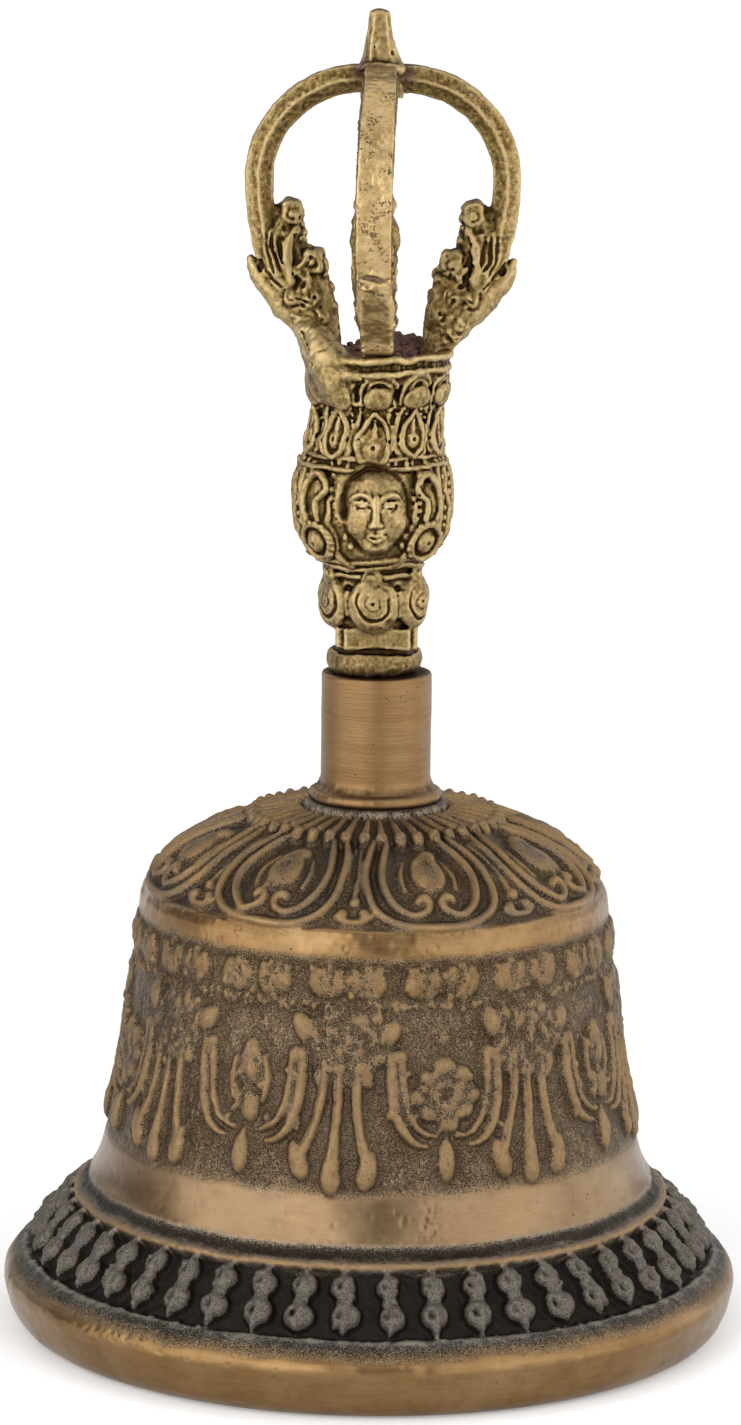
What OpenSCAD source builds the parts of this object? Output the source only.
/* [Bell] */
// Widest diameter, over the ridge of the lip
rim_d = 95; // [92:0.5:100]
// Height of the cast bell, from the rim to the top of the crown
bell_h = 68.6; // [66:0.2:72]
// Wall thickness at the waist
wall = 3; // [2.6:0.1:3.4]

/* [Neck] */
// Diameter of the neck sleeve
neck_d = 14.1; // [13:0.1:15]
// Diameter of the flange at the foot of the sleeve
flange_d = 17; // [16:0.2:18]
// Height of the sleeve with its flange
neck_h = 16.5; // [14:0.5:18]

/* [Handle] */
// Width of the cast head at the hair
head_w = 18.6; // [17:0.2:20]
// Diameter of the cup on top of the head
cup_d = 17.4; // [16.6:0.2:18.4]
// Width over the two side prongs of the cage
cage_w = 35.4; // [33:0.2:37]
// Height of the cage, from the cup's rim to the top of the crossing
cage_h = 35.9; // [34:0.2:38]
// Width of a prong's bar, seen from outside
bar_w = 4.8; // [4:0.1:5.4]
// Height of the pointed tip above the crossing
tip_h = 6.9; // [5:0.1:8]

/* [Fixings] */
// Diameter of the tie rod that clamps the handle to the bell
rod_d = 5; // [4:0.1:5.6]
// Diameter of the washer under the crown
washer_d = 14; // [12:0.5:15]
// Width across the flats of the eye nut
nut_af = 8; // [7.6:0.1:9]

/* [Clapper] */
// Diameter of the clapper's rod
stem_d = 3; // [2.4:0.1:3.6]
// Diameter of the striking knob
knob_d = 10.6; // [9.6:0.1:11]
// Height of the knob's lowest point above the rim's plane
knob_z = 6.4; // [5:0.2:8]

/* [Hidden] */

$fn = 64;
steps = 8;                      // segments in each curved stretch of an outline
slack = 0.05;                   // radial clearance of fixed parts on the tie rod

kr = rim_d / 95;                // radius scale of the bell's outline
kz = bell_h / 68.6;             // height scale of the bell's outline
crown_t = 4 * kz;               // thickness of the crown
ceiling_z = bell_h - crown_t;   // underside of the crown
ceiling_r = 9.5 * kr;           // flat part of the underside
sun_ring_r = 0.75;

neck_top = bell_h + neck_h;
flange_h = 2.6;
cup_rim_z = neck_top + 41.3;
well_r = cup_d / 2 - 1.9;
well_depth = 3;
socket_depth = 15;              // tie rod's blind hole in the head

hub_h = 4.4;                    // height of the block where the prongs cross
crossing_z = cup_rim_z + cage_h;
hub_w = bar_w;
prong_mid_z = cup_rim_z + cage_h * 0.6;
prong_t = 3.5;                  // radial thickness of the bar

washer_t = 1.2;
nut_h = 4.4;
nut_z = ceiling_z - washer_t - nut_h;
eye_wire_r = 1.1;               // wire of the nut's eye
eye_r = 3.2;                    // centre line radius of that eye
link_wire_r = 0.9;
link_r = 3.7;
loop_wire_r = 1;                // wire of the loop on the clapper's stem
loop_r = 2.9;
hang_gap = 0.3;                 // play between the loops, which keeps them free at every angle

eye_z = nut_z - eye_r - eye_wire_r + 0.6;
link_hinge_z = eye_z - eye_r;
link_z = link_hinge_z + eye_wire_r + link_wire_r + hang_gap - link_r;
clapper_hinge_z = link_z - link_r;
loop_z = clapper_hinge_z + link_wire_r + loop_wire_r + hang_gap - loop_r;
knob_h = 15;

// Point on a cubic Bezier curve
function bez(a, b, c, d, t) =
    a * pow(1 - t, 3) + 3 * b * t * pow(1 - t, 2) + 3 * c * pow(t, 2) * (1 - t) + d * pow(t, 3);

// Points of a cubic Bezier curve, without its first point
function curve(a, b, c, d, n = steps) = [for (i = [1:n]) bez(a, b, c, d, i / n)];

// Outline points scaled to the bell's size
function fit_bell(points) = [for (p = points) [p[0] * kr, p[1] * kz]];

// Lip, sloped vajra band, waist and crown, from the foot of the rim up to the crown's edge
function bell_outside() = fit_bell(concat(
    [[43.7, 0]],
    curve([43.7, 0], [46.2, 0.4], [46.9, 3], [47.5, 6]),
    curve([47.5, 6], [47.4, 7.4], [46.6, 8.6], [44.1, 9.9]),
    [[38.2, 16.6], [37.5, 18.2]],
    curve([37.5, 18.2], [34.4, 21.4], [34.6, 25], [33.3, 31]),
    curve([33.3, 31], [31.2, 41], [30.8, 49], [29.9, 56.4]),
    curve([29.9, 56.4], [28.6, 60.4], [22.5, 64.4], [16.5, 65.7]),
    curve([16.5, 65.7], [13.2, 66.4], [11.6, 67.6], [9.4, 68.6])));

// Inner wall, from the crown's underside down to the mouth
function bell_inside() = concat(
    [[ceiling_r, ceiling_z]],
    [for (p = fit_bell(concat(
        curve([9.5, 64.6], [20, 63.4], [26.4, 60], [29.9, 54]),
        curve([29.9, 54], [31, 46], [32.6, 36], [34.2, 27]),
        curve([34.2, 27], [35.6, 18], [38.8, 10], [44, 3.4]))))
        [p[0] - (p[0] > ceiling_r ? min(wall, (p[0] - ceiling_r) * 0.5) : 0), p[1]]],
    [[41.2 * kr, 0]]);

module bell_body() {
    color([0.55, 0.42, 0.27])
    difference() {
        rotate_extrude($fn = 128)
            polygon(concat([[0, ceiling_z]], bell_inside(), bell_outside(), [[0, bell_h]]));
        translate([0, 0, ceiling_z - 1])
            cylinder(d = rod_d + 2 * slack + 0.4, h = crown_t + 2);
    }
    // Raised ring round the sunburst of the crown
    color([0.55, 0.42, 0.27])
    rotate_extrude($fn = 128)
        translate([16.6 * kr, 65.4 * kz])
            circle(r = sun_ring_r, $fn = 24);
}

module neck_sleeve() {
    r = neck_d / 2;
    fr = flange_d / 2;
    color([0.67, 0.48, 0.32])
    translate([0, 0, bell_h])
        difference() {
            rotate_extrude()
                polygon(concat(
                    [[0, 0], [fr - 0.5, 0], [fr, 0.5], [fr, 1.2]],
                    curve([fr, 1.2], [fr - 0.5, 1.9], [r + 0.25, 1.7], [r + 0.1, flange_h]),
                    [[r, neck_h - 0.5], [r - 0.35, neck_h], [0, neck_h]]));
            translate([0, 0, -1])
                cylinder(d = rod_d + 2 * slack, h = neck_h + 2);
        }
}

// Round ornament with a raised rim and a centre button
module rosette(r) {
    cylinder(r = r, h = 1.2, $fn = 32);
    cylinder(r = r * 0.62, h = 1.8, $fn = 32);
    cylinder(r = r * 0.26, h = 2.3, $fn = 24);
}

// Pointed leaf of the head's crown, standing on the XZ plane
module crown_leaf(w, h) {
    rotate([90, 0, 0])
        linear_extrude(1.3)
            polygon(concat([[-w / 2, 0]],
                curve([-w / 2, 0], [-w * 0.75, h * 0.5], [-w * 0.1, h * 0.8], [0, h]),
                curve([0, h], [w * 0.1, h * 0.8], [w * 0.75, h * 0.5], [w / 2, 0])));
}

module handle_head() {
    hw = head_w / 2;
    cr = cup_d / 2;
    color([0.62, 0.52, 0.28])
    translate([0, 0, neck_top])
        difference() {
            union() {
                // Foot ring, plinth, shoulders, hair, headband and cup, turned in one outline
                rotate_extrude()
                    polygon(concat(
                        [[0, 0], [5.2, 0]],
                        curve([5.2, 0], [6.4, 0.5], [6.4, 3], [5.2, 3.5]),
                        [[5.5, 3.6], [5, 6.4]],
                        curve([5, 6.4], [6.6, 7], [7.3, 11], [6.2, 13]),
                        curve([6.2, 13], [5, 14.2], [hw - 1.4, 14.6], [hw - 0.4, 19]),
                        curve([hw - 0.4, 19], [hw + 0.3, 23], [hw - 0.6, 26], [hw - 1.1, 28.5]),
                        curve([hw - 1.1, 28.5], [hw - 1.5, 32], [cr - 0.9, 36], [cr, 39.6]),
                        [[cr, 40.9], [cr - 0.4, 41.3], [well_r, 41.3], [well_r, 41.3 - well_depth],
                            [0, 41.3 - well_depth]]));
                // Plain oval of the face, which stands out of the hair
                translate([0, -3.9, 20.8])
                    sphere(r = 5.7, $fn = 48);
                // Ear ornaments
                for (side = [-1, 1])
                    translate([side * (hw - 2.6), -3.4, 19])
                        rotate([90, 0, side * 42])
                            rosette(2.7);
                // Breast ornaments
                for (turn = [-52, 0, 52])
                    rotate([0, 0, turn])
                        translate([0, -4.8, 9.6])
                            rotate([90, 0, 0])
                                rosette(turn == 0 ? 2.9 : 2.7);
                // Crown leaves over the headband
                for (turn = [-74:37:74])
                    rotate([0, 0, turn])
                        translate([0, -6.7, 27])
                            crown_leaf(3.6, turn == 0 ? 8.6 : 7);
            }
            translate([0, 0, -1])
                cylinder(d = rod_d + 2 * slack, h = socket_depth + 1);
        }
}

module cup_cement() {
    color([0.25, 0.11, 0.07])
    translate([0, 0, cup_rim_z - well_depth])
        cylinder(r = well_r - slack, h = well_depth);
}

// Side outline of a prong: a bar that springs from the cup and arches in to the crossing,
// with the sea monster's mane and snout as lobes at its root
module prong_outline() {
    out_r = cage_w / 2;
    in_r = out_r - prong_t;
    foot = cup_rim_z;
    polygon(concat(
        [[hub_w / 2, crossing_z]],
        [for (a = [80:-10:0])
            [hub_w / 2 + (out_r - hub_w / 2) * cos(a),
                prong_mid_z + (crossing_z - prong_mid_z) * sin(a)]],
        curve([out_r, prong_mid_z], [out_r, foot + 13], [out_r - 2.6, foot + 6], [8.9, foot + 1]),
        [[8.6, foot], [4.6, foot], [5, foot + 2]],
        curve([5, foot + 2], [in_r - 3, foot + 7], [in_r, foot + 14], [in_r, prong_mid_z]),
        [for (a = [10:10:80])
            [hub_w / 2 + (in_r - hub_w / 2) * cos(a),
                prong_mid_z + (crossing_z - 3.2 - prong_mid_z) * sin(a)]],
        [[hub_w / 2, crossing_z - 3.2]]));
}

// One prong, in the XZ plane on the +X side; the snout is ground off where it is in the way
module prong(snout = true) {
    foot = cup_rim_z;
    mane = bar_w + 0.9;
    rotate([90, 0, 0]) {
        translate([0, 0, -bar_w / 2])
            linear_extrude(bar_w)
                prong_outline();
        translate([0, 0, -mane / 2])
            linear_extrude(mane) {
                translate([cage_w / 2 - 5.6, foot + 16.2])
                    circle(r = 2.5, $fn = 32);
                translate([cage_w / 2 - 7.4, foot + 9.4])
                    circle(r = 4, $fn = 32);
                translate([cage_w / 2 - 9, foot + 5.6])
                    circle(r = 3.2, $fn = 32);
                if (snout)
                    polygon([[cage_w / 2 - 3.4, foot + 14], [cage_w / 2 - 0.3, foot + 11.2],
                        [cage_w / 2 - 1.6, foot + 8.6], [cage_w / 2 - 5, foot + 7]]);
            }
    }
}

module prong_left() {
    color([0.62, 0.52, 0.28])
    rotate([0, 0, 180])
        prong();
}

module prong_right() {
    color([0.62, 0.52, 0.28])
    prong();
}

module prong_front() {
    color([0.69, 0.58, 0.40])
    rotate([0, 0, -90])
        prong(snout = false);
}

module prong_back() {
    color([0.62, 0.52, 0.28])
    rotate([0, 0, 90])
        prong();
}

// Block that the four prongs meet on, with the blunt point above it
module vajra_tip() {
    point_r = 1.25;
    color([0.66, 0.55, 0.30]) {
        translate([-hub_w / 2, -hub_w / 2, crossing_z - hub_h])
            cube([hub_w, hub_w, hub_h]);
        translate([0, 0, crossing_z])
            rotate_extrude()
                polygon(concat(
                    [[0, 0], [hub_w / 2, 0]],
                    curve([hub_w / 2, 0], [2, tip_h * 0.3], [point_r + 0.1, tip_h * 0.6],
                        [point_r, tip_h - 1]),
                    curve([point_r, tip_h - 1], [point_r, tip_h - 0.3], [0.6, tip_h], [0, tip_h])));
    }
}

module tie_rod() {
    bottom = nut_z + 0.6;
    color([0.55, 0.55, 0.56])
    translate([0, 0, bottom])
        cylinder(d = rod_d, h = neck_top + socket_depth - 0.5 - bottom);
}

module crown_washer() {
    color([0.58, 0.58, 0.58])
    translate([0, 0, ceiling_z - washer_t])
        difference() {
            cylinder(d = washer_d, h = washer_t);
            translate([0, 0, -1])
                cylinder(d = rod_d + 0.5, h = washer_t + 2);
        }
}

// Ring of round wire, standing in the XZ plane
module wire_ring(ring_r, wire_r) {
    rotate([90, 0, 0])
        rotate_extrude($fn = 72)
            translate([ring_r, 0])
                circle(r = wire_r, $fn = 24);
}

module eye_nut() {
    color([0.6, 0.6, 0.6]) {
        difference() {
            translate([0, 0, nut_z])
                cylinder(d = nut_af / cos(30), h = nut_h, $fn = 6);
            translate([0, 0, nut_z + 0.6])
                cylinder(d = rod_d + 2 * slack, h = nut_h);
        }
        translate([0, 0, eye_z])
            rotate([0, 0, 90])
                wire_ring(eye_r, eye_wire_r);
    }
}

module clapper_link() {
    color([0.45, 0.43, 0.40])
    translate([0, 0, link_z])
        wire_ring(link_r, link_wire_r);
}

module clapper_stem() {
    bottom = knob_z + knob_h - 5;
    color([0.50, 0.38, 0.26]) {
        translate([0, 0, loop_z])
            rotate([0, 0, 90])
                wire_ring(loop_r, loop_wire_r);
        translate([0, 0, bottom])
            cylinder(d = stem_d, h = loop_z - loop_r - bottom);
    }
}

// Turned drop with a blind hole for the stem
module clapper_knob() {
    kd = knob_d / 2;
    color([0.60, 0.45, 0.28])
    translate([0, 0, knob_z])
        difference() {
            rotate_extrude()
                polygon(concat(
                    [[0, 0], [1.2, 0]],
                    curve([1.2, 0], [kd * 0.7, 0.2], [kd, 2.2], [kd, 5]),
                    curve([kd, 5], [kd, 8.6], [2.9, 10], [2.7, 13.4]),
                    [[2.5, knob_h], [0, knob_h]]));
            translate([0, 0, knob_h - 5])
                cylinder(d = stem_d + 2 * slack, h = 6);
        }
}

bell_body();
neck_sleeve();
handle_head();
cup_cement();
prong_left();
prong_right();
prong_front();
prong_back();
vajra_tip();
tie_rod();
crown_washer();
eye_nut();
clapper_link();
clapper_stem();
clapper_knob();
